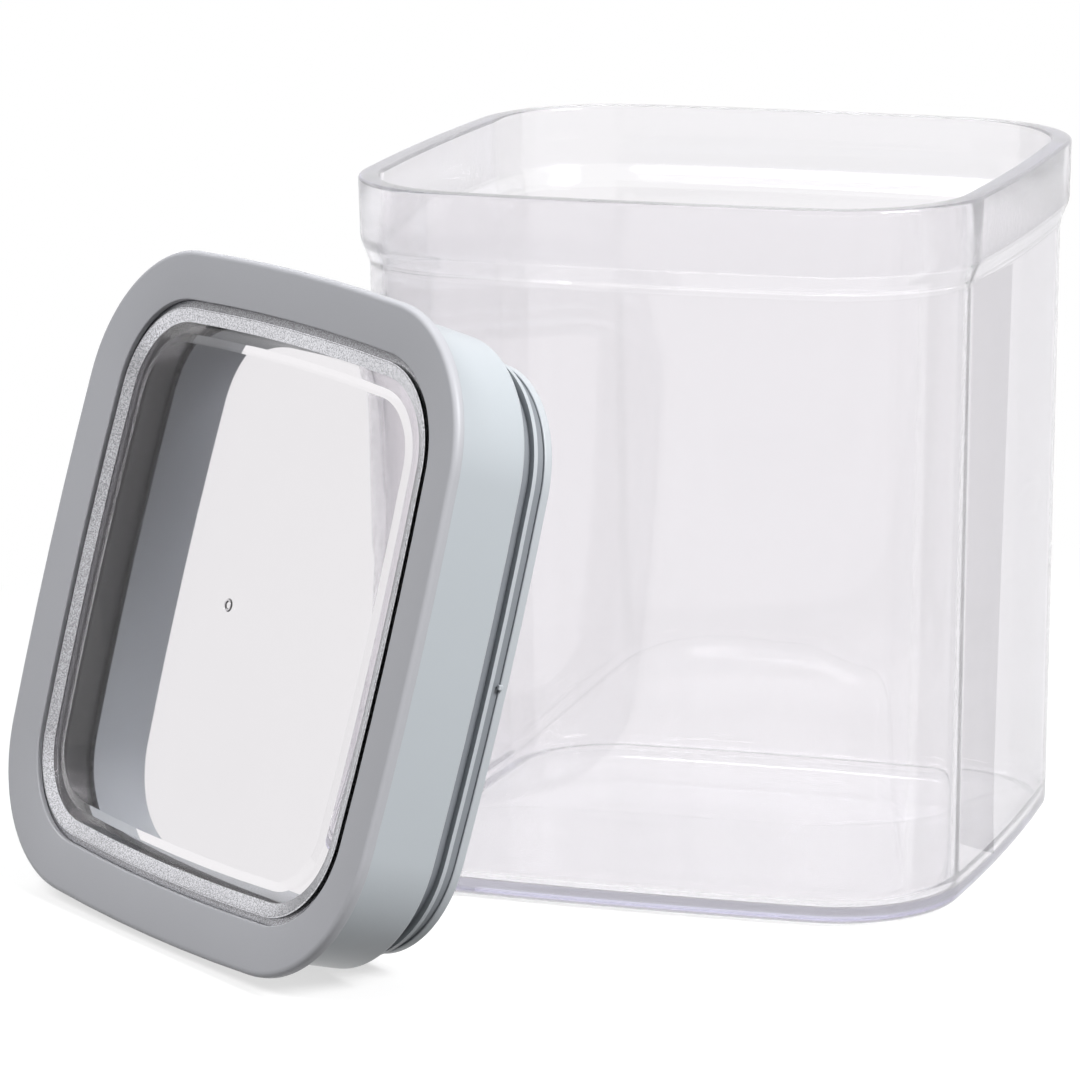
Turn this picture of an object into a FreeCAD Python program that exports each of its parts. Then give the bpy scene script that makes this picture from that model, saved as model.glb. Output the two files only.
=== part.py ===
import FreeCAD, Part
import math
import os
import Sketcher

# Square food storage canister with its push-in lid taken off. The lid stands on its lower edge in front of
# the canister and leans back against the canister's front left corner.
# The origin is the middle of the canister's base, +Z is up and the front looks along -Y.

doc = FreeCAD.newDocument("food_storage_container")
sheet = doc.addObject("Spreadsheet::Sheet", "sizes")


class Size:
    """A number in millimetres or degrees together with the sheet expression that gives it."""

    def __init__(self, value, text):
        self.value = value
        self.text = text

    def combine(self, sign, other, result):
        other_text = other.text if isinstance(other, Size) else str(other)
        return Size(result, "(" + self.text + " " + sign + " " + other_text + ")")

    def __add__(self, other):
        return self.combine("+", other, self.value + number(other))

    def __sub__(self, other):
        return self.combine("-", other, self.value - number(other))

    def __mul__(self, other):
        return self.combine("*", other, self.value * number(other))

    def __truediv__(self, other):
        return self.combine("/", other, self.value / number(other))


def number(item):
    return item.value if isinstance(item, Size) else item


sheet_row = 0


def size(name, value):
    """Write one driving dimension into the sheet and return it."""
    global sheet_row
    sheet_row += 1
    sheet.set("A" + str(sheet_row), name)
    sheet.set("B" + str(sheet_row), str(value))
    sheet.setAlias("B" + str(sheet_row), name)
    return Size(float(value), "sizes." + name)


# The common outline: a square with rounded corners and slightly crowned sides, given at the canister's rim.
# Every other outline is a parallel offset of this one.
collar_width = size("collar_width", 108.0)
corner_radius = size("corner_radius", 24.4)
side_radius = size("side_radius", 549.0)

# Canister
canister_height = size("canister_height", 118.8)
collar_height = size("collar_height", 10.6)
collar_draft = size("collar_draft", 0.3)
cove_height = size("cove_height", 3.8)
cove_depth = size("cove_depth", 1.5)
body_draft = size("body_draft", 1.35)
body_wall = size("body_wall", 2.4)
rim_wall = size("rim_wall", 3.6)
mouth_depth = size("mouth_depth", 11.0)
ledge_slope = size("ledge_slope", 2.2)
floor_thickness = size("floor_thickness", 2.4)
rim_round = size("rim_round", 0.6)
ledge_round = size("ledge_round", 1.2)
base_round = size("base_round", 2.2)
floor_round = size("floor_round", 3.0)
cove_round = size("cove_round", 4.0)
collar_round = size("collar_round", 4.0)
floor_margin = size("floor_margin", 12.0)
floor_overlap = size("floor_overlap", 2.0)

# Lid ring, the flange that frames the lid's face
flange_overhang = size("flange_overhang", 1.3)
flange_thickness = size("flange_thickness", 1.9)
flange_round = size("flange_round", 0.9)
ring_width = size("ring_width", 8.2)
ring_dish = size("ring_dish", 1.0)
ring_edge_round = size("ring_edge_round", 0.25)

# Lid skirt, the band below the ring and the plug wall inside the mouth
skirt_setback = size("skirt_setback", 1.65)
band_height = size("band_height", 14.1)
band_wall = size("band_wall", 1.5)
shelf_thickness = size("shelf_thickness", 2.0)
skirt_edge_round = size("skirt_edge_round", 0.5)
plug_depth = size("plug_depth", 7.9)
plug_inset = size("plug_inset", 7.3)
plug_wall = size("plug_wall", 1.3)
seat_wall = size("seat_wall", 1.2)

# Lid window, the clear insert with its own short wall
window_wall = size("window_wall", 1.25)
window_wall_height = size("window_wall_height", 11.4)
window_clearance = size("window_clearance", 0.25)
window_shoulder = size("window_shoulder", 0.3)
groove_width = size("groove_width", 1.2)
bevel_width = size("bevel_width", 2.45)
bevel_drop = size("bevel_drop", 0.6)
channel_outer_width = size("channel_outer_width", 1.9)
channel_drop = size("channel_drop", 0.5)
channel_inner_width = size("channel_inner_width", 1.55)
channel_rise = size("channel_rise", 0.35)
panel_thickness = size("panel_thickness", 2.0)
panel_margin = size("panel_margin", 4.0)
panel_overlap = size("panel_overlap", 1.5)
window_edge_round = size("window_edge_round", 0.3)

# Lid gasket, a soft sleeve with two lips round the plug
seal_clearance = size("seal_clearance", 0.5)
sleeve_wall = size("sleeve_wall", 0.7)
upper_lip_drop = size("upper_lip_drop", 3.6)
upper_lip_thickness = size("upper_lip_thickness", 0.7)
lower_lip_setback = size("lower_lip_setback", 0.8)
lower_lip_thickness = size("lower_lip_thickness", 1.6)
gasket_edge_round = size("gasket_edge_round", 0.3)

# How the lid leans: tilted back from upright, turned to the left, moved sideways along its own face
lid_lean = size("lid_lean", 16.35)
lid_turn = size("lid_turn", 36.8)
lid_aside = size("lid_aside", -1.7)
lean_clearance = size("lean_clearance", 0.3)

doc.recompute()


def origin_plane(body, role):
    for feature in body.Origin.OriginFeatures:
        if feature.Role == role:
            return feature
    raise RuntimeError("no plane " + role)


def new_sketch(body, name, role):
    sketch = body.newObject("Sketcher::SketchObject", name)
    sketch.AttachmentSupport = (origin_plane(body, role), [""])
    sketch.MapMode = "FlatFace"
    return sketch


X_AXIS, Y_AXIS = range(-1, -3, -1)
ORIGIN = X_AXIS
START, END, CENTRE = range(1, 4)


def bind(sketch, kind, items, length, name):
    """Add one dimension to a sketch and bind it to the sheet."""
    index = sketch.addConstraint(Sketcher.Constraint(kind, *items, length.value))
    sketch.renameConstraint(index, name)
    sketch.setExpression("Constraints." + name, length.text)


def corner_centre(half, corner, side):
    """Distance of a corner arc's centre from both axes, where the corner is tangent to both sides."""
    offset = half - side
    return (offset + math.sqrt(2 * (side - corner) ** 2 - offset ** 2)) / 2


def outline_sketch(body, name, inset=None):
    """The common outline, moved inward by inset, drawn anticlockwise from the middle of the +X side."""
    half, corner, side = collar_width / 2, corner_radius, side_radius
    if inset is not None:
        half, corner, side = half - inset, corner - inset, side - inset
    centre = corner_centre(half.value, corner.value, side.value)
    reach = side.value - half.value
    bend = math.atan2(centre, centre + reach)
    quarter = math.pi / 2
    sketch = new_sketch(body, name, "XY_Plane")

    def arc(x, y, radius, start, end):
        circle = Part.Circle(FreeCAD.Vector(x, y, 0), FreeCAD.Vector(0, 0, 1), radius)
        sketch.addGeometry(Part.ArcOfCircle(circle, start, end), False)

    arc(-reach, 0, side.value, 0, bend)
    for turn in range(4):
        middle = (turn + 0.5) * quarter
        diagonal = centre * math.sqrt(2)
        arc(diagonal * math.cos(middle), diagonal * math.sin(middle), corner.value,
            turn * quarter + bend, (turn + 1) * quarter - bend)
        axis = (turn + 1) * quarter
        last = axis if turn == 3 else axis + bend
        arc(-reach * math.cos(axis), -reach * math.sin(axis), side.value, axis - bend, last)

    right, top, left, bottom, right_end = 0, 2, 4, 6, 8
    for index in range(8):
        sketch.addConstraint(Sketcher.Constraint("Tangent", index, END, index + 1, START))
    sketch.addConstraint(Sketcher.Constraint("PointOnObject", right, CENTRE, X_AXIS))
    sketch.addConstraint(Sketcher.Constraint("PointOnObject", right, START, X_AXIS))
    sketch.addConstraint(Sketcher.Constraint("Coincident", right_end, CENTRE, right, CENTRE))
    sketch.addConstraint(Sketcher.Constraint("Coincident", right_end, END, right, START))
    sketch.addConstraint(Sketcher.Constraint("Symmetric", left, CENTRE, right, CENTRE, ORIGIN, START))
    sketch.addConstraint(Sketcher.Constraint("PointOnObject", top, CENTRE, Y_AXIS))
    sketch.addConstraint(Sketcher.Constraint("Symmetric", bottom, CENTRE, top, CENTRE, ORIGIN, START))
    for index in (top, left, bottom):
        sketch.addConstraint(Sketcher.Constraint("Equal", index, right))
    for index in (3, 5, 7):
        sketch.addConstraint(Sketcher.Constraint("Equal", index, 1))
    bind(sketch, "DistanceX", (ORIGIN, START, right, START), half, "half_width")
    bind(sketch, "Radius", (right,), side, "side")
    bind(sketch, "Radius", (1,), corner, "corner")
    bind(sketch, "DistanceY", (top, CENTRE, ORIGIN, START), side - half, "crown")
    return sketch


def profile_sketch(body, name, corners):
    """A closed cross-section on the XZ plane through its corners (x, z, edge radius or None)."""
    sketch = new_sketch(body, name, "XZ_Plane")
    count = len(corners)
    points = [FreeCAD.Vector(number(x), number(z), 0) for x, z, edge in corners]
    arrive = []
    leave = []
    middles = []
    for index in range(count):
        point = points[index]
        edge = corners[index][2]
        if edge is None:
            arrive.append(point)
            leave.append(point)
            middles.append(None)
            continue
        back = (points[index - 1] - point).normalize()
        ahead = (points[(index + 1) % count] - point).normalize()
        half_angle = back.getAngle(ahead) / 2
        reach = edge.value / math.tan(half_angle)
        inward = (back + ahead).normalize()
        arrive.append(point + back * reach)
        leave.append(point + ahead * reach)
        middles.append(point + inward * (edge.value / math.sin(half_angle) - edge.value))

    for index in range(count):
        sketch.addGeometry(Part.LineSegment(leave[index], arrive[(index + 1) % count]), False)

    for index in range(count):
        x, z, edge = corners[index]
        before = (index - 1) % count
        if edge is None:
            sketch.addConstraint(Sketcher.Constraint("Coincident", before, END, index, START))
            place = (index, START)
        else:
            arc = sketch.addGeometry(Part.Arc(arrive[index], middles[index], leave[index]), False)
            first, second = START, END
            from_start = sketch.getPoint(arc, START).distanceToPoint(arrive[index])
            from_end = sketch.getPoint(arc, END).distanceToPoint(arrive[index])
            if from_end < from_start:
                first, second = END, START
            sketch.addConstraint(Sketcher.Constraint("Tangent", before, END, arc, first))
            sketch.addConstraint(Sketcher.Constraint("Tangent", arc, second, index, START))
            bind(sketch, "Radius", (arc,), edge, "edge_" + str(index))
            tip = sketch.addGeometry(Part.Point(points[index]), True)
            sketch.addConstraint(Sketcher.Constraint("PointOnObject", tip, START, before))
            sketch.addConstraint(Sketcher.Constraint("PointOnObject", tip, START, index))
            place = (tip, START)
        bind(sketch, "DistanceX", (ORIGIN, START) + place, x, "across_" + str(index))
        if isinstance(z, Size):
            bind(sketch, "DistanceY", (ORIGIN, START) + place, z, "up_" + str(index))
        else:
            sketch.addConstraint(Sketcher.Constraint("PointOnObject", *place, X_AXIS))
    return sketch


def ring_body(name, corners):
    """A body whose cross-section runs once round the common outline."""
    body = doc.addObject("PartDesign::Body", name)
    body.Label = name
    path = outline_sketch(body, name + "_path")
    section = profile_sketch(body, name + "_section", corners)
    sweep = body.newObject("PartDesign::AdditivePipe", name + "_sweep")
    sweep.Profile = section
    sweep.Spine = (path, [""])
    return body


def add_panel(body, name, inset, bottom, thickness):
    """Close a swept ring with a flat panel from bottom upward."""
    sketch = outline_sketch(body, name + "_outline", inset)
    if bottom is not None:
        sketch.setExpression("AttachmentOffset.Base.z", bottom.text)
    pad = body.newObject("PartDesign::Pad", name)
    pad.Profile = sketch
    pad.setExpression("Length", thickness.text)
    return pad


half_width = collar_width / 2

# Canister: one clear moulding, a tapered square wall with a thicker collar, a ledge inside the mouth and a floor
cove_top = canister_height - collar_height
cove_bottom = cove_top - cove_height
collar_bottom_half = half_width - collar_draft
body_top_half = collar_bottom_half - cove_depth
body_base_half = body_top_half - body_draft
mouth_half = half_width - rim_wall
ledge_height = canister_height - mouth_depth
inner_top_half = body_top_half - body_wall
inner_base_half = body_base_half - body_wall
floor_half = inner_base_half - floor_margin
canister = ring_body("canister", [
    (body_base_half, 0, base_round),
    (body_top_half, cove_bottom, cove_round),
    (collar_bottom_half, cove_top, collar_round),
    (half_width, canister_height, rim_round),
    (mouth_half, canister_height, rim_round),
    (mouth_half, ledge_height, ledge_round),
    (inner_top_half, ledge_height - ledge_slope, ledge_round),
    (inner_base_half, floor_thickness, floor_round),
    (floor_half, floor_thickness, None),
    (floor_half, 0, None),
])
add_panel(canister, "canister_floor", half_width - floor_half - floor_overlap, None, floor_thickness)

# The lid's own frame has its face upward: height 0 is the end of the plug
lid_height = plug_depth + band_height + flange_thickness
flange_bottom = plug_depth + band_height
flange_half = half_width + flange_overhang
ring_inner_half = flange_half - ring_width

# Lid ring: a grey flange that overhangs the collar, its face dished slightly towards the window
lid_ring = ring_body("lid_ring", [
    (flange_half, flange_bottom, ring_edge_round),
    (flange_half, lid_height, flange_round),
    (ring_inner_half, lid_height - ring_dish, ring_edge_round),
    (ring_inner_half, flange_bottom, None),
])

# Lid skirt: a band that stands on the rim, a shelf, and a plug wall with a seat for the window's wall
skirt_half = half_width - skirt_setback
channel_outer_half = skirt_half - band_wall
plug_inner_half = half_width - plug_inset
plug_outer_half = plug_inner_half + plug_wall
window_outer_half = plug_inner_half + window_wall
seat_half = window_outer_half + window_clearance
seat_outer_half = seat_half + seat_wall
shelf_top = plug_depth + shelf_thickness
window_wall_bottom = flange_bottom - window_wall_height
lid_skirt = ring_body("lid_skirt", [
    (skirt_half, flange_bottom, None),
    (channel_outer_half, flange_bottom, None),
    (channel_outer_half, shelf_top, None),
    (seat_outer_half, shelf_top, None),
    (seat_outer_half, flange_bottom, None),
    (seat_half, flange_bottom, None),
    (seat_half, window_wall_bottom, None),
    (plug_inner_half, window_wall_bottom, None),
    (plug_inner_half, 0, skirt_edge_round),
    (plug_outer_half, 0, None),
    (plug_outer_half, plug_depth, None),
    (skirt_half, plug_depth, skirt_edge_round),
])

# Lid window: a clear plate with a bevelled rim, a shallow channel inside it and a short wall on the seat
bevel_outer_half = ring_inner_half - groove_width
bevel_inner_half = bevel_outer_half - bevel_width
channel_floor_half = bevel_inner_half - channel_outer_width
panel_half = channel_floor_half - channel_inner_width
window_top = lid_height - ring_dish
bevel_bottom = window_top - bevel_drop
channel_bottom = bevel_bottom - channel_drop
panel_top = channel_bottom + channel_rise
panel_bottom = panel_top - panel_thickness
shoulder_height = flange_bottom - window_shoulder
panel_edge_half = panel_half - panel_margin
lid_window = ring_body("lid_window", [
    (window_outer_half, window_wall_bottom, None),
    (window_outer_half, shoulder_height, window_edge_round),
    (bevel_outer_half, shoulder_height, None),
    (bevel_outer_half, window_top, window_edge_round),
    (bevel_inner_half, bevel_bottom, window_edge_round),
    (channel_floor_half, channel_bottom, window_edge_round),
    (panel_half, panel_top, window_edge_round),
    (panel_edge_half, panel_top, None),
    (panel_edge_half, panel_bottom, None),
    (plug_inner_half, panel_bottom, window_edge_round),
    (plug_inner_half, window_wall_bottom, None),
])
add_panel(lid_window, "window_panel", half_width - panel_edge_half - panel_overlap, panel_bottom, panel_thickness)

# Lid gasket: a soft sleeve on the plug with a thin upper lip and a thicker lower lip at the plug's end
sleeve_half = plug_outer_half + sleeve_wall
upper_lip_half = mouth_half - seal_clearance
lower_lip_half = upper_lip_half - lower_lip_setback
upper_lip_top = plug_depth - upper_lip_drop
upper_lip_bottom = upper_lip_top - upper_lip_thickness
lid_gasket = ring_body("lid_gasket", [
    (plug_outer_half, plug_depth, None),
    (plug_outer_half, 0, None),
    (lower_lip_half, 0, gasket_edge_round),
    (lower_lip_half, lower_lip_thickness, gasket_edge_round),
    (sleeve_half, lower_lip_thickness, None),
    (sleeve_half, upper_lip_bottom, None),
    (upper_lip_half, upper_lip_bottom, None),
    (upper_lip_half, upper_lip_top, None),
    (sleeve_half, upper_lip_top, None),
    (sleeve_half, plug_depth, None),
])

# The lid's pose: it rests on whichever lower edge reaches lowest and leans on the canister's corner
lean = math.radians(lid_lean.value)
turn = math.radians(lid_turn.value)
lid_edges = (
    (flange_half.value, flange_bottom.value, ring_edge_round.value),
    (skirt_half.value, plug_depth.value, skirt_edge_round.value),
    (upper_lip_half.value, upper_lip_bottom.value, 0.0),
    (lower_lip_half.value, 0.0, gasket_edge_round.value),
)
rest_height = max((half - edge) * math.cos(lean) - (height + edge) * math.sin(lean) + edge
                  for half, height, edge in lid_edges)
outward = FreeCAD.Vector(-math.sin(turn), -math.cos(turn), 0)
along = FreeCAD.Vector(math.cos(turn), -math.sin(turn), 0)


def canister_half_at(height):
    """Half-width of the canister's outside at a height."""
    if height > cove_bottom.value:
        return half_width.value
    return body_base_half.value + body_draft.value * height / cove_bottom.value


def canister_reach(height):
    """How far the canister reaches towards the lid at a height, where the lid faces one of its corners."""
    centre = corner_centre(half_width.value, corner_radius.value, side_radius.value)
    corner = corner_radius.value + canister_half_at(height) - half_width.value
    return centre * (abs(outward.x) + abs(outward.y)) + corner


lean_distance = 0.0
for half, height, edge in lid_edges:
    top_height = rest_height + half * math.cos(lean) + height * math.sin(lean)
    needed = canister_reach(top_height) + lean_clearance.value + half * math.sin(lean) - height * math.cos(lean)
    lean_distance = max(lean_distance, needed)

lid_place = outward * lean_distance + along * lid_aside.value + FreeCAD.Vector(0, 0, rest_height)
lid_rotation = FreeCAD.Rotation(FreeCAD.Vector(0, 0, 1), -lid_turn.value)
lid_rotation = lid_rotation * FreeCAD.Rotation(FreeCAD.Vector(1, 0, 0), 90 - lid_lean.value)
lid_placement = FreeCAD.Placement(lid_place, lid_rotation)
canister.Placement = FreeCAD.Placement()
for body in (lid_ring, lid_skirt, lid_window, lid_gasket):
    body.Placement = lid_placement

doc.recompute()

bodies = (canister, lid_ring, lid_skirt, lid_window, lid_gasket)
for item in doc.Objects:
    if "Invalid" in item.State or "Error" in item.State:
        raise RuntimeError("failed object " + item.Name)
for body in bodies:
    if body.Shape.isNull() or not body.Shape.isValid() or len(body.Shape.Solids) != 1:
        raise RuntimeError("bad shape " + body.Label)

os.makedirs("parts", exist_ok=True)
for body in bodies:
    body.Shape.exportStep("parts/" + body.Label + ".step")
    print(body.Label, round(body.Shape.Volume), "mm3")
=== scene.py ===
import math

import bmesh
import bpy
from mathutils import Matrix, Quaternion, Vector


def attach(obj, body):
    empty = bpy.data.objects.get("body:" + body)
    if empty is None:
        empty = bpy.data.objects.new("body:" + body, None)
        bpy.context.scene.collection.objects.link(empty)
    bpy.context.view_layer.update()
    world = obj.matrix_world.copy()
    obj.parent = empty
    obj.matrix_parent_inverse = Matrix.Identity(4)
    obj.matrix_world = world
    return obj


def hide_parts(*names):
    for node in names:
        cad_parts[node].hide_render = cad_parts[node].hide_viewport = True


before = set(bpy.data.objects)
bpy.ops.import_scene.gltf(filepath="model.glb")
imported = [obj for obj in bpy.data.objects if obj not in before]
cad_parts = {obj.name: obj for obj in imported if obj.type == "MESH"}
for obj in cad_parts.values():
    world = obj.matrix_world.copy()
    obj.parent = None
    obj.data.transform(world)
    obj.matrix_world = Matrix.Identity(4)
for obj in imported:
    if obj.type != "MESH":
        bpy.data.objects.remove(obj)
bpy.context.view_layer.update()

# Canister: the tall jar that holds the food, a softened square in plan with a thicker collar at its mouth.
# It is one clear moulding of hard plastic, polished on the body and matt on the collar. A lighter tint on the
# shoulder is a painted highlight, and on the floor it is painted light.
MM = 0.001
canister_height = 118.8
collar_half = 54.0
foot_half = 50.85
foot_edge = 2.2
shoulder_foot_half = 52.2
shoulder_foot = 104.4
shoulder_top_half = 53.7
shoulder_top = 108.2
shoulder_edge = 4.0
mouth_half = 50.4
rim_edge = 0.6
ledge_top = 107.8
ledge_half = 49.8
ledge_foot = 105.6
ledge_edge = 1.2
floor_half = 48.45
floor_edge = 3.0
floor_thickness = 2.4
floor_plate_half = 36.45
corner_radius = 24.4
side_radius = 549.0
side_steps = 3
corner_steps = 28
edge_steps = 6
merge_reach = 0.002
crease_angle = math.radians(28)

# The outline's arcs meet without a kink: each side's centre lies on an axis and each corner's on a diagonal.
side_centre = collar_half - side_radius
centre_span = side_radius - corner_radius
corner_centre = (side_centre + math.sqrt(2 * centre_span**2 - side_centre**2)) / 2
side_bend = math.atan2(corner_centre, corner_centre - side_centre)
corner_bend = math.pi / 2 - 2 * side_bend


def swept(profile, marked=(), capped=False):
    """Carries a cross-section of (half width, height, edge radius) points round the softened square outline.
    Points in a marked zone, given as a mark and its ranges of half width and height, carry that mark, which
    picks another finish.
    A capped section is open on its inner side, and the two openings in the middle get flat faces."""
    shape = bmesh.new()
    mark = shape.verts.layers.float.new("mark")
    points = [shape.verts.new((across * MM, 0, up * MM)) for across, up, edge in profile]
    shape.faces.new(points)
    for point, (across, up, edge) in zip(points, profile):
        if not edge:
            continue
        before, after = [side.other_vert(point).co - point.co for side in point.link_edges]
        cut = edge * MM / math.tan(before.angle(after) / 2)
        bmesh.ops.bevel(shape, geom=[point], offset=cut, offset_type="OFFSET", segments=edge_steps,
                        profile=0.5, affect="VERTICES", material=-1)
    bmesh.ops.delete(shape, geom=shape.faces[:], context="FACES_ONLY")
    if capped:
        inner = min(point.co.x for point in shape.verts) + merge_reach * MM
        open_side = [side for side in shape.edges if all(point.co.x < inner for point in side.verts)]
        bmesh.ops.delete(shape, geom=open_side, context="EDGES_FACES")
    for number, *zone in marked:
        near, far, low, high = (value * MM for value in zone)
        for point in shape.verts:
            if near <= point.co.x <= far and low <= point.co.z <= high:
                point[mark] = number
    section = shape.verts[:] + shape.edges[:]
    for quarter in range(4):
        turn = Matrix.Rotation(quarter * math.pi / 2, 3, "Z")
        for centre, bend, steps in (((side_centre, 0, 0), side_bend, side_steps),
                                    ((corner_centre, corner_centre, 0), corner_bend, corner_steps),
                                    ((0, side_centre, 0), side_bend, side_steps)):
            carried = bmesh.ops.spin(shape, geom=section, cent=turn @ Vector(centre) * MM, axis=(0, 0, 1),
                                     angle=bend, steps=steps, use_duplicate=False)
            section = carried["geom_last"]
    bmesh.ops.remove_doubles(shape, verts=shape.verts[:], dist=merge_reach * MM)
    if capped:
        bmesh.ops.holes_fill(shape, edges=shape.edges[:], sides=0)
    bmesh.ops.recalc_face_normals(shape, faces=shape.faces[:])
    return shape


def piece_from(name, shape, *materials):
    """Makes an object of a finished shape. Where it has several materials, the marks pick each face's own."""
    mesh = bpy.data.meshes.new(name)
    shape.to_mesh(mesh)
    shape.free()
    mesh.shade_smooth()
    mesh.set_sharp_from_angle(angle=crease_angle)
    for material in materials:
        mesh.materials.append(material)
    if len(materials) > 1:
        mark = mesh.attributes["mark"].data
        for face in mesh.polygons:
            face.material_index = int(min(mark[corner].value for corner in face.vertices))
    piece = bpy.data.objects.new(name, mesh)
    bpy.context.scene.collection.objects.link(piece)
    return piece


def worked_out(tree, operation, *values, clamped=False):
    """The result of a sum on numbers and on what other nodes put out."""
    step = tree.nodes.new("ShaderNodeMath")
    step.operation = operation
    step.use_clamp = clamped
    for place, value in zip(step.inputs, values):
        if isinstance(value, bpy.types.NodeSocket):
            tree.links.new(value, place)
        else:
            place.default_value = value
    return step.outputs["Value"]


def toned(tree, colour, strength):
    """A colour made lighter or darker."""
    tint = tree.nodes.new("ShaderNodeVectorMath")
    tint.operation = "SCALE"
    tree.links.new(colour, tint.inputs[0])
    tree.links.new(strength, tint.inputs["Scale"])
    return tint.outputs["Vector"]


def mixed(tree, share, first, second):
    """Shows the first shader, and the second one in its place by the given share."""
    either = tree.nodes.new("ShaderNodeMixShader")
    tree.links.new(share, either.inputs["Fac"])
    tree.links.new(first, either.inputs[1])
    tree.links.new(second, either.inputs[2])
    tree.links.new(either.outputs["Shader"], tree.nodes["Material Output"].inputs["Surface"])


cloud_scale = 45
cloud_detail = 4
cloud_middle = 0.5
grain_detail = 2
grain_depth = 0.05


def moulded_group():
    """A moulded plastic surface: slow unevenness in the colour and gloss, and a fine grain."""
    group = bpy.data.node_groups.new("moulded_surface", "ShaderNodeTree")
    group.interface.new_socket("Colour", in_out="INPUT", socket_type="NodeSocketColor")
    for name in ("Unevenness", "Roughness", "Spread", "Grain"):
        group.interface.new_socket(name, in_out="INPUT", socket_type="NodeSocketFloat")
    group.interface.new_socket("Colour", in_out="OUTPUT", socket_type="NodeSocketColor")
    for name in ("Roughness", "Height"):
        group.interface.new_socket(name, in_out="OUTPUT", socket_type="NodeSocketFloat")
    nodes, links = group.nodes, group.links
    given = nodes.new("NodeGroupInput")
    result = nodes.new("NodeGroupOutput")
    place = nodes.new("ShaderNodeTexCoord")
    cloud = nodes.new("ShaderNodeTexNoise")
    cloud.inputs["Scale"].default_value = cloud_scale
    cloud.inputs["Detail"].default_value = cloud_detail
    links.new(place.outputs["Object"], cloud.inputs["Vector"])
    grain = nodes.new("ShaderNodeTexNoise")
    grain.inputs["Detail"].default_value = grain_detail
    links.new(place.outputs["Object"], grain.inputs["Vector"])
    links.new(given.outputs["Grain"], grain.inputs["Scale"])
    drift = worked_out(group, "SUBTRACT", cloud.outputs["Fac"], cloud_middle)
    tone = worked_out(group, "MULTIPLY_ADD", drift, given.outputs["Unevenness"], 1.0)
    gloss = worked_out(group, "MULTIPLY_ADD", drift, given.outputs["Spread"], given.outputs["Roughness"])
    links.new(toned(group, given.outputs["Colour"], tone), result.inputs["Colour"])
    links.new(gloss, result.inputs["Roughness"])
    links.new(grain.outputs["Fac"], result.inputs["Height"])
    return group


moulded = moulded_group()


def moulded_material(name, colour, roughness, grain, relief, unevenness=0.05, spread=0.06,
                     marked_colour=None, shaded_mark=1):
    """A moulded plastic with a fine grain, in a second shade where it has the shaded mark."""
    material = bpy.data.materials.new(name)
    material.use_nodes = True
    tree = material.node_tree
    shader = tree.nodes["Principled BSDF"]
    surface = tree.nodes.new("ShaderNodeGroup")
    surface.node_tree = moulded
    surface.inputs["Colour"].default_value = (*colour, 1)
    surface.inputs["Unevenness"].default_value = unevenness
    surface.inputs["Roughness"].default_value = roughness
    surface.inputs["Spread"].default_value = spread
    surface.inputs["Grain"].default_value = grain
    if marked_colour:
        mark = tree.nodes.new("ShaderNodeAttribute")
        mark.attribute_name = "mark"
        shade = tree.nodes.new("ShaderNodeMix")
        shade.data_type = "RGBA"
        shade.inputs["A"].default_value = (*colour, 1)
        shade.inputs["B"].default_value = (*marked_colour, 1)
        share = worked_out(tree, "SUBTRACT", mark.outputs["Fac"], shaded_mark - 1, clamped=True)
        tree.links.new(share, shade.inputs["Factor"])
        tree.links.new(shade.outputs["Result"], surface.inputs["Colour"])
    bump = tree.nodes.new("ShaderNodeBump")
    bump.inputs["Strength"].default_value = relief
    bump.inputs["Distance"].default_value = grain_depth * MM
    tree.links.new(surface.outputs["Height"], bump.inputs["Height"])
    tree.links.new(surface.outputs["Colour"], shader.inputs["Base Color"])
    tree.links.new(surface.outputs["Roughness"], shader.inputs["Roughness"])
    tree.links.new(bump.outputs["Normal"], shader.inputs["Normal"])
    return material


matt_mark = 1
painted_light_mark = 2
clear_bending = 1.53
clear_unevenness = 0.02
frost_grain = 1400.0
frost_relief = 3.0
lamp_light_passed = (0.35, 0.35, 0.35, 1)


def clear_material(name, colour, polish, alpha, frost=0.0, marked_colour=None):
    """A clear plastic, polished except where it has the matt mark: there the frost adds roughness and grain.
    The painted light mark gives a polished face in the marked colour, a lighter tint painted as light. Light
    from the lamps passes through it."""
    material = moulded_material(name, colour, polish, frost_grain, relief=frost_relief * frost,
                                unevenness=clear_unevenness, spread=clear_unevenness,
                                marked_colour=marked_colour, shaded_mark=painted_light_mark)
    tree = material.node_tree
    shader = tree.nodes["Principled BSDF"]
    shader.inputs["Transmission Weight"].default_value = 1.0
    shader.inputs["IOR"].default_value = clear_bending
    shader.inputs["Alpha"].default_value = alpha
    surface = tree.nodes["Group"]
    mark = tree.nodes.new("ShaderNodeAttribute")
    mark.attribute_name = "mark"
    matt = worked_out(tree, "PINGPONG", mark.outputs["Fac"], matt_mark)
    rough = worked_out(tree, "MULTIPLY_ADD", matt, frost, surface.outputs["Roughness"])
    tree.links.new(rough, shader.inputs["Roughness"])
    height = worked_out(tree, "MULTIPLY", surface.outputs["Height"], matt)
    tree.links.new(height, tree.nodes["Bump"].inputs["Height"])
    rays = tree.nodes.new("ShaderNodeLightPath")
    lit_through = tree.nodes.new("ShaderNodeBsdfTransparent")
    lit_through.inputs["Color"].default_value = lamp_light_passed
    mixed(tree, rays.outputs["Is Shadow Ray"], shader.outputs["BSDF"], lit_through.outputs["BSDF"])
    return material


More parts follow.
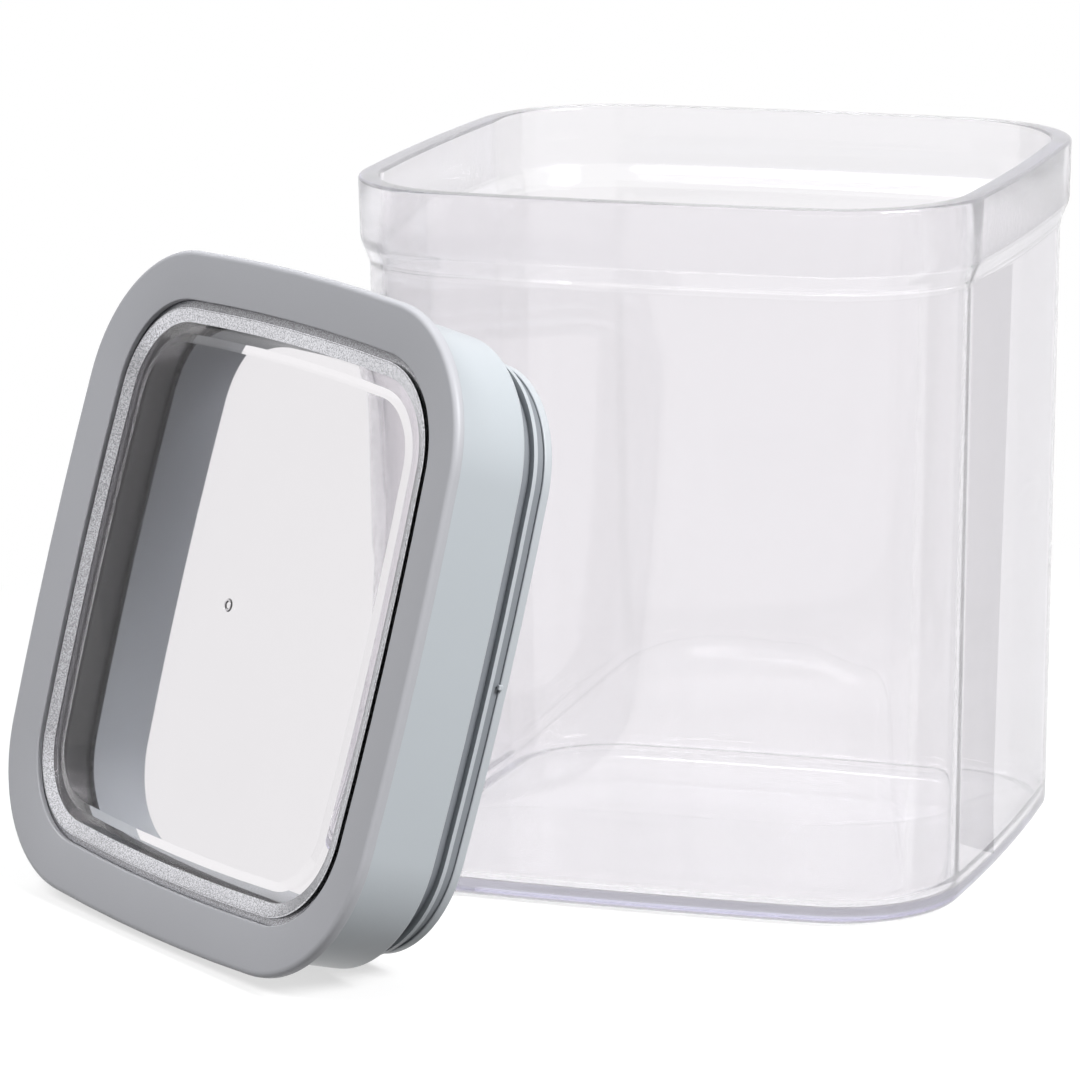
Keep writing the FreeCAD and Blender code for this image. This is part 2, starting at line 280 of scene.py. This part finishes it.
canister_profile = [
    (foot_half, 0, foot_edge),
    (shoulder_foot_half, shoulder_foot, shoulder_edge),
    (shoulder_top_half, shoulder_top, shoulder_edge),
    (collar_half, canister_height, rim_edge),
    (mouth_half, canister_height, rim_edge),
    (mouth_half, ledge_top, ledge_edge),
    (ledge_half, ledge_foot, ledge_edge),
    (floor_half, floor_thickness, floor_edge),
    (floor_plate_half, floor_thickness, 0),
    (floor_plate_half, 0, 0),
]
collar_zone = (53.0, 54.1, 107.5, 118.0)
shoulder_light_zone = (51.9, 53.6, 104.0, 108.0)
floor_light_zone = (36.0, 48.7, -0.1, 2.45)
canister_marks = [(matt_mark, *collar_zone), (painted_light_mark, *shoulder_light_zone), (painted_light_mark, *floor_light_zone)]
# The lighter marked colour is painted light: a painted highlight on the shoulder below the collar, and
# painted light on the floor.
canister_plastic = clear_material("canister_clear_plastic", (0.915, 0.9, 0.915), polish=0.02, alpha=0.85,
                                  frost=0.2, marked_colour=(1.0, 0.99, 1.0))
canister_tree = canister_plastic.node_tree
canister_depth = canister_tree.nodes.new("ShaderNodeVolumeAbsorption")
canister_depth.inputs["Color"].default_value = (0.72, 0.7, 1.0, 1)
canister_depth.inputs["Density"].default_value = 8.0
canister_tree.links.new(canister_depth.outputs["Volume"],
                        canister_tree.nodes["Material Output"].inputs["Volume"])
canister_shape = swept(canister_profile, canister_marks, capped=True)
canister = piece_from("canister_clear", canister_shape, canister_plastic)
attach(canister, "canister")
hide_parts("canister")

# Lid ring: the flat grey frame round the lid's face, dished a little towards the window.
# It is a matt plastic moulding that clips over the skirt below it.
ring_half = 55.3
ring_foot = 22.0
ring_top = 23.9
ring_edge = 0.9
opening_half = 47.1
opening_top = 22.9
fine_edge = 0.25
plug_foot_place = (-47.44116, -60.57795, 47.88855)
lid_turn = math.radians(-36.8)
lid_lean = math.radians(73.65)
lid_place = (Matrix.Translation(Vector(plug_foot_place) * MM)
             @ Matrix.Rotation(lid_turn, 4, "Z") @ Matrix.Rotation(lid_lean, 4, "X"))


def lid_piece(name, node, slot, shape, *materials):
    """Sets a lid piece down where the lid leans, and lets it move with the lid."""
    bmesh.ops.transform(shape, matrix=lid_place, verts=shape.verts[:])
    piece = piece_from(name, shape, *materials)
    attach(piece, "lid")
    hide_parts(node)


ring_profile = [
    (ring_half, ring_foot, fine_edge),
    (ring_half, ring_top, ring_edge),
    (opening_half, opening_top, fine_edge),
    (opening_half, ring_foot, 0),
]
ring_plastic = moulded_material("ring_grey_plastic", (0.368, 0.372, 0.396), roughness=0.48, grain=2600.0,
                                relief=0.25)
lid_piece("lid_ring_grey", "lid_ring", "grey_plastic", swept(ring_profile), ring_plastic)

# Lid skirt: the band under the ring with its shelf, and the plug wall that goes into the canister's mouth.
# It is one satin blue grey moulding, hollow inside the band, and it carries the ring, window and gasket.
skirt_half = 52.35
skirt_foot = 7.9
skirt_edge = 0.5
hollow_outer_half = 50.85
hollow_inner_half = 49.4
hollow_floor = 9.9
seat_half = 48.2
seat_height = 10.6
plug_half = 48.0
plug_inner_half = 46.7
skirt_profile = [
    (skirt_half, ring_foot, 0),
    (hollow_outer_half, ring_foot, 0),
    (hollow_outer_half, hollow_floor, 0),
    (hollow_inner_half, hollow_floor, 0),
    (hollow_inner_half, ring_foot, 0),
    (seat_half, ring_foot, 0),
    (seat_half, seat_height, 0),
    (plug_inner_half, seat_height, 0),
    (plug_inner_half, 0, skirt_edge),
    (plug_half, 0, 0),
    (plug_half, skirt_foot, 0),
    (skirt_half, skirt_foot, skirt_edge),
]
painted_shade_mark = 1
shaded_hollow_zone = (48.1, 51.0, 9.8, 22.1)
# The near black marked colour is painted shade in the hollow between the band and the seat, and behind the
# window's wall.
skirt_plastic = moulded_material("skirt_blue_grey_plastic", (0.40, 0.43, 0.455), roughness=0.3, grain=2200.0,
                                 relief=0.15, marked_colour=(0.03, 0.033, 0.036))
lid_piece("lid_skirt_blue_grey", "lid_skirt", "blue_grey_plastic",
          swept(skirt_profile, [(painted_shade_mark, *shaded_hollow_zone)]), skirt_plastic)

# Lid window: the clear pane set in the ring, with a frosted bevelled border and a shallow channel inside it.
# It is one clear moulding with a short wall that drops into the skirt and rests on its seat.
window_wall_half = 47.95
window_flange_top = 21.7
border_half = 45.9
border_top = 22.9
bevel_half = 43.45
bevel_foot = 22.0
channel_half = 41.55
channel_floor = 21.8
pane_half = 40.0
pane_top = 22.15
pane_under = 20.15
pane_plate_half = 36.0
window_edge = 0.3
window_profile = [
    (window_wall_half, seat_height, 0),
    (window_wall_half, window_flange_top, window_edge),
    (border_half, window_flange_top, 0),
    (border_half, border_top, window_edge),
    (bevel_half, bevel_foot, window_edge),
    (channel_half, channel_floor, window_edge),
    (pane_half, pane_top, window_edge),
    (pane_plate_half, pane_top, 0),
    (pane_plate_half, pane_under, 0),
    (plug_inner_half, pane_under, window_edge),
    (plug_inner_half, seat_height, 0),
]
frosted_mark = 1
wall_mark = 2
bevel_zone = (43.3, 45.85, 21.9, 23.0)
flange_zone = (45.8, 48.1, 21.6, 21.8)
wall_zone = (46.6, 48.0, 10.5, 21.5)
window_marks = [(frosted_mark, *bevel_zone), (frosted_mark, *flange_zone), (wall_mark, *wall_zone)]
window_colour = (0.92, 0.9, 0.92)
window_plastic = clear_material("window_clear_plastic", window_colour, polish=0.02, alpha=1.0)
window_wall_plastic = clear_material("window_wall_plastic", window_colour, polish=0.02, alpha=0.3)
speckle_start = 0.35
speckle_end = 0.6
speckle_darkest = 0.55
frost_gleam = 0.75


def ranged(tree, value, start, end, low=0.0, high=1.0, smooth=False):
    """Carries a value from one range over to another, and holds it at the ends."""
    scale = tree.nodes.new("ShaderNodeMapRange")
    scale.interpolation_type = "SMOOTHSTEP" if smooth else "LINEAR"
    for name, number in (("From Min", start), ("From Max", end), ("To Min", low), ("To Max", high)):
        scale.inputs[name].default_value = number
    tree.links.new(value, scale.inputs["Value"])
    return scale.outputs["Result"]


frosted_border = moulded_material("frosted_border", (0.82, 0.82, 0.86), roughness=0.26, grain=4200.0,
                                  relief=0.4, unevenness=0.3)
frosted_tree = frosted_border.node_tree
frosted_shader = frosted_tree.nodes["Principled BSDF"]
frosted_shader.inputs["Metallic"].default_value = frost_gleam
frosted_surface = frosted_tree.nodes["Group"]
speckle = ranged(frosted_tree, frosted_surface.outputs["Height"], speckle_start, speckle_end,
                 low=speckle_darkest)
speckled = toned(frosted_tree, frosted_surface.outputs["Colour"], speckle)
frosted_tree.links.new(speckled, frosted_shader.inputs["Base Color"])
window_shape = swept(window_profile, window_marks, capped=True)
lid_piece("lid_window_clear", "lid_window", "window_plastic", window_shape, window_plastic, frosted_border,
          window_wall_plastic)

# Gate mark: the small round nib left in the middle of the pane where the plastic was let into the mould.
# It is part of the same clear moulding.
gate_foot = 22.1
gate_top = 22.4
gate_steps = 32
gate_section = ((0.55, gate_foot), (0.7, gate_top), (0.95, gate_top), (1.1, gate_foot))
gate = bmesh.new()
gate_points = [gate.verts.new((across * MM, 0, up * MM)) for across, up in gate_section]
gate_edges = [gate.edges.new(pair) for pair in zip(gate_points, gate_points[1:] + gate_points[:1])]
bmesh.ops.spin(gate, geom=gate_points + gate_edges, cent=(0, 0, 0), axis=(0, 0, 1), angle=2 * math.pi,
               steps=gate_steps, use_merge=True, use_duplicate=False)
bmesh.ops.remove_doubles(gate, verts=gate.verts[:], dist=merge_reach * MM)
bmesh.ops.recalc_face_normals(gate, faces=gate.faces[:])
bmesh.ops.transform(gate, matrix=lid_place, verts=gate.verts[:])
gate_plastic = clear_material("gate_plastic", (0.84, 0.83, 0.85), polish=0.05, alpha=1.0)
gate_mark = piece_from("lid_window_gate_mark", gate, gate_plastic)
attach(gate_mark, "lid")

# Lid gasket: the soft seal on the plug wall, a sleeve with two lips that press on the canister's mouth.
# It is one moulding of grey silicone rubber stretched over the plug. The sleeve between and below the lips is
# painted darker as shade, and the lips keep the rubber's paler grey.
sleeve_half = 48.7
lower_lip_half = 49.1
lower_lip_top = 1.6
upper_lip_half = 49.9
upper_lip_foot = 3.6
upper_lip_top = 4.3
lip_edge = 0.3
gasket_profile = [
    (plug_half, skirt_foot, 0),
    (plug_half, 0, 0),
    (lower_lip_half, 0, lip_edge),
    (lower_lip_half, lower_lip_top, lip_edge),
    (sleeve_half, lower_lip_top, 0),
    (sleeve_half, upper_lip_foot, 0),
    (upper_lip_half, upper_lip_foot, 0),
    (upper_lip_half, upper_lip_top, 0),
    (sleeve_half, upper_lip_top, 0),
    (sleeve_half, skirt_foot, 0),
]
unshaded_lip_mark = 1
lip_zone = (49.0, 50.0, 0.0, 4.5)
# The dark base colour is painted shade on the sleeve in the recesses, and the marked colour on the lips is
# the rubber's own paler grey.
silicone = moulded_material("gasket_silicone", (0.20, 0.215, 0.235), roughness=0.4, grain=2600.0, relief=0.2,
                            marked_colour=(0.42, 0.445, 0.47))
lid_piece("lid_gasket_silicone", "lid_gasket", "seal", swept(gasket_profile, [(unshaded_lip_mark, *lip_zone)]),
          silicone)

# Moulding nib: a short raised stub on the gasket's lower lip, halfway along the lid's right side.
# It is part of the same rubber moulding.
nib_size = (0.7, 0.9, 0.9)
nib_edge = 0.2
nib_edge_steps = 3
nib_place = (49.25, -1.0, 1.7)
nib = bmesh.new()
nib_mark = nib.verts.layers.float.new("mark")
bmesh.ops.create_cube(nib, size=1.0)
for point in nib.verts:
    point[nib_mark] = unshaded_lip_mark
bmesh.ops.scale(nib, vec=Vector(nib_size) * MM, verts=nib.verts[:])
bmesh.ops.bevel(nib, geom=nib.edges[:], offset=nib_edge * MM, offset_type="OFFSET", segments=nib_edge_steps,
                profile=0.5, affect="EDGES", material=-1)
bmesh.ops.translate(nib, vec=Vector(nib_place) * MM, verts=nib.verts[:])
bmesh.ops.transform(nib, matrix=lid_place, verts=nib.verts[:])
gasket_nib = piece_from("lid_gasket_nib", nib, silicone)
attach(gasket_nib, "lid")

# Studio: a pale table that fades into a white surround, a key lamp on the right and weaker lamps in front
# and behind. A grey card on the table, which only reflections see, gives the canister its grey corner band.
# The camera stands in front, to the right and above, with a long lens. Lengths are in metres here.
table_size = 3.0
table_gap = 0.0002
table_tone_seen = 0.95
table_tone_bounced = 0.2
table_roughness = 0.9
fade_start = 0.06
fade_end = 0.24
near_white = 0.6


def viewed(tree):
    """1 for rays on which the eye sees the background, straight, mirrored or through clear plastic, and 0 for
    rays that only carry light from it to a surface. The node that tells the rays apart comes with it."""
    rays = tree.nodes.new("ShaderNodeLightPath")
    mirrored = worked_out(tree, "MAXIMUM", rays.outputs["Is Camera Ray"], rays.outputs["Is Glossy Ray"])
    seen = worked_out(tree, "MAXIMUM", mirrored, rays.outputs["Is Transmission Ray"])
    direct = worked_out(tree, "LESS_THAN", rays.outputs["Diffuse Depth"], 0.5)
    return rays, worked_out(tree, "MULTIPLY", seen, direct)


table_finish = bpy.data.materials.new("table")
table_finish.use_nodes = True
table_tree = table_finish.node_tree
table_top = table_tree.nodes["Principled BSDF"]
table_top.inputs["Roughness"].default_value = table_roughness
table_top.inputs["Specular IOR Level"].default_value = 0.0
table_rays, table_viewed = viewed(table_tree)
seen_straight = table_rays.outputs["Is Camera Ray"]
table_tone = ranged(table_tree, seen_straight, 0.0, 1.0, low=table_tone_bounced, high=table_tone_seen)
table_tree.links.new(table_tone, table_top.inputs["Base Color"])
table_place = table_tree.nodes.new("ShaderNodeTexCoord")
table_reach = table_tree.nodes.new("ShaderNodeVectorMath")
table_reach.operation = "LENGTH"
table_tree.links.new(table_place.outputs["Object"], table_reach.inputs[0])
table_fade = ranged(table_tree, table_reach.outputs["Value"], fade_start, fade_end, low=near_white,
                    smooth=True)
seen_otherwise = worked_out(table_tree, "SUBTRACT", 1.0, seen_straight)
table_share = worked_out(table_tree, "MAXIMUM", table_fade, seen_otherwise)
table_shown = worked_out(table_tree, "MULTIPLY", table_viewed, table_share)
table_white = table_tree.nodes.new("ShaderNodeEmission")
mixed(table_tree, table_shown, table_top.outputs["BSDF"], table_white.outputs["Emission"])
table = bmesh.new()
bmesh.ops.create_grid(table, x_segments=1, y_segments=1, size=table_size)
bmesh.ops.translate(table, vec=(0, 0, -table_gap), verts=table.verts[:])
floor = piece_from("table", table, table_finish)

card_gap = 0.0001
card_strength = 0.45
card_corners = ((0.053, 0.0), (0.062, 0.0), (0.262, 0.53), (0.187, 0.53))
card = bmesh.new()
card.faces.new([card.verts.new((across, back, -card_gap)) for across, back in card_corners])
card_finish = bpy.data.materials.new("grey_card")
card_finish.use_nodes = True
card_tree = card_finish.node_tree
card_grey = card_tree.nodes.new("ShaderNodeEmission")
card_grey.inputs["Strength"].default_value = card_strength
card_tree.links.new(card_grey.outputs["Emission"], card_tree.nodes["Material Output"].inputs["Surface"])
grey_card = piece_from("grey_card", card, card_finish)
grey_card.visible_camera = False
grey_card.visible_transmission = False
grey_card.visible_diffuse = False
grey_card.visible_shadow = False

# The surround is white to the eye, fills the shade a little, and is dim in reflections of its low left side.
fill_strength = 0.15
dim_start = -0.3
dim_end = -0.9
dim_most = 0.85
dim_steep = 0.4
dim_level = 0.15
world = bpy.data.worlds.new("surround")
bpy.context.scene.world = world
world.use_nodes = True
world_tree = world.node_tree
surround = world_tree.nodes["Background"]
surround.inputs["Color"].default_value = (1, 1, 1, 1)
world_rays, world_viewed = viewed(world_tree)
toward = world_tree.nodes.new("ShaderNodeTexCoord")
sides = world_tree.nodes.new("ShaderNodeSeparateXYZ")
world_tree.links.new(toward.outputs["Generated"], sides.inputs["Vector"])
dim_left = ranged(world_tree, sides.outputs["X"], dim_start, dim_end, high=dim_most, smooth=True)
steepness = worked_out(world_tree, "ABSOLUTE", sides.outputs["Z"])
dim_low = ranged(world_tree, steepness, dim_steep, dim_level, smooth=True)
dim_low_left = worked_out(world_tree, "MULTIPLY", dim_left, dim_low)
dim_mirrored = worked_out(world_tree, "MULTIPLY", dim_low_left, world_rays.outputs["Is Glossy Ray"])
world_shown = worked_out(world_tree, "SUBTRACT", world_viewed, dim_mirrored, clamped=True)
world_strength = ranged(world_tree, world_shown, 0.0, 1.0, low=fill_strength)
world_tree.links.new(world_strength, surround.inputs["Strength"])


def soft_lamp(name, place, aim, size, power, mirrored=True):
    """A flat square soft box that faces its aim."""
    lamp = bpy.data.lights.new(name, "AREA")
    lamp.shape = "SQUARE"
    lamp.size = size
    lamp.energy = power
    holder = bpy.data.objects.new(name, lamp)
    holder.location = place
    holder.rotation_euler = (Vector(aim) - Vector(place)).to_track_quat("-Z", "Y").to_euler()
    holder.visible_glossy = mirrored
    bpy.context.scene.collection.objects.link(holder)


lid_aim = (-0.05, -0.06, 0.05)
canister_aim = (-0.05, 0, 0.05)
soft_lamp("key_lamp", (0.889, -0.349, 0.901), lid_aim, size=0.5, power=22.7)
soft_lamp("front_lamp", (-0.45, -0.5, 0.8), lid_aim, size=0.5, power=8.1, mirrored=False)
soft_lamp("back_lamp", (-0.6, 0.7, 1.2), canister_aim, size=0.6, power=8.0, mirrored=False)

camera_place = (0.26772, -0.90561, 0.264)
camera_aim = (-0.0294, -0.01006, 0.05236)
camera_roll = -0.0072
view = bpy.data.cameras.new("camera")
view.lens = 188.17
view.sensor_width = 36.0
viewer = bpy.data.objects.new("camera", view)
viewer.location = camera_place
level_view = (Vector(camera_aim) - Vector(camera_place)).to_track_quat("-Z", "Y")
viewer.rotation_euler = (level_view @ Quaternion((0, 0, 1), camera_roll)).to_euler()
bpy.context.scene.collection.objects.link(viewer)
bpy.context.scene.camera = viewer
bpy.context.scene.view_settings.view_transform = "Standard"
